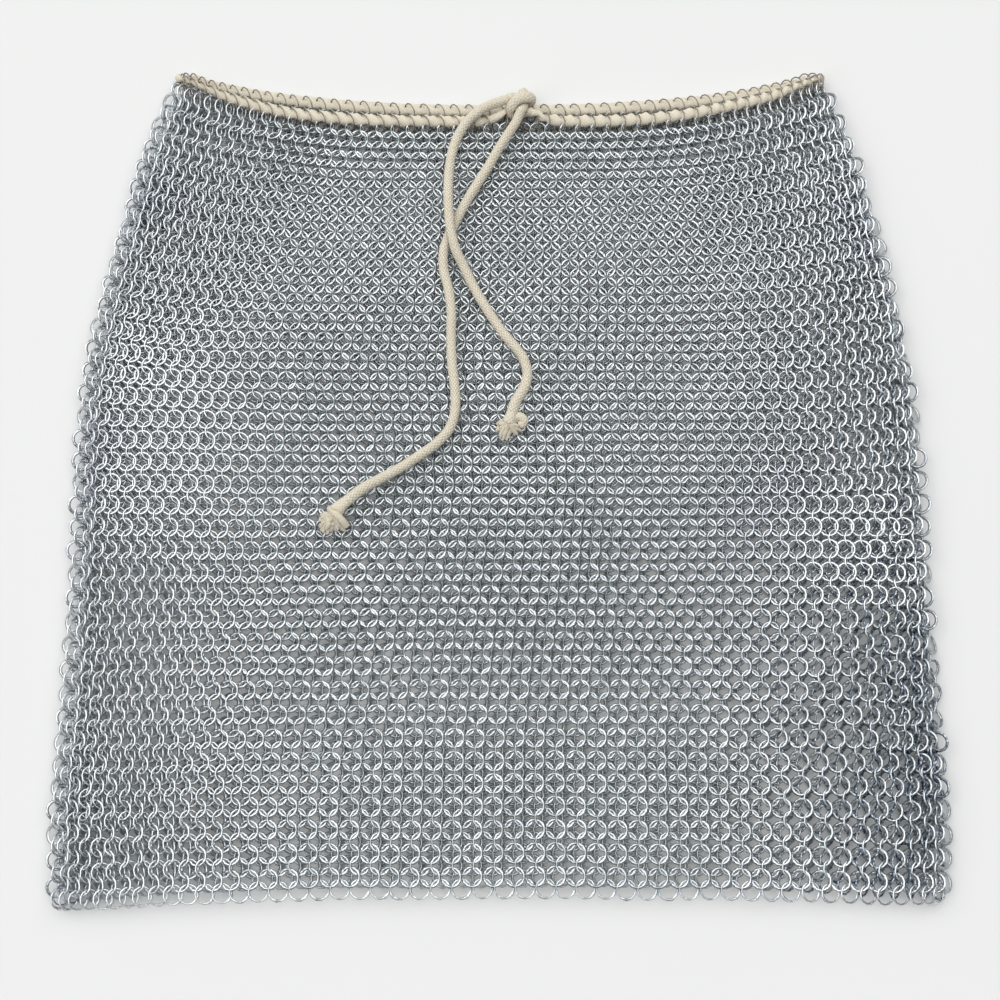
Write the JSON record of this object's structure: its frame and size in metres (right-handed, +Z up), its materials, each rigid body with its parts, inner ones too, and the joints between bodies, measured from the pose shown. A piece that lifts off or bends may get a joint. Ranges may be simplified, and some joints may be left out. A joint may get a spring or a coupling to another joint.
{
  "type": "chainmail skirt with a drawstring, laid flat",
  "caption": "Tube of linked metal rings that covers the hips and thighs, held at the waist by a knotted cotton drawstring, laid flat.",
  "frame": {"origin": "under the middle of the skirt's bounding box, on the surface it lies on", "axes": "+Z up, away from the surface; +Y from the hem to the waist; +X across the skirt, to the right as seen from above with the waist at the top"},
  "size_m": [0.5772, 0.5598, 0.0252],
  "materials": {
    "zinc_mail": "zinc-plated steel wire, semi-bright, with darker blue-grey recesses",
    "cotton_cord": "undyed braided cotton, matt"
  },
  "bodies": {
    "root": {"mail_tube": "zinc_mail", "waist_cord": "cotton_cord", "waist_knot": "cotton_cord", "cord_end_short": "cotton_cord", "cord_end_long": "cotton_cord", "frayed_end_short": "cotton_cord", "frayed_end_long": "cotton_cord"}
  },
  "joints": []
}
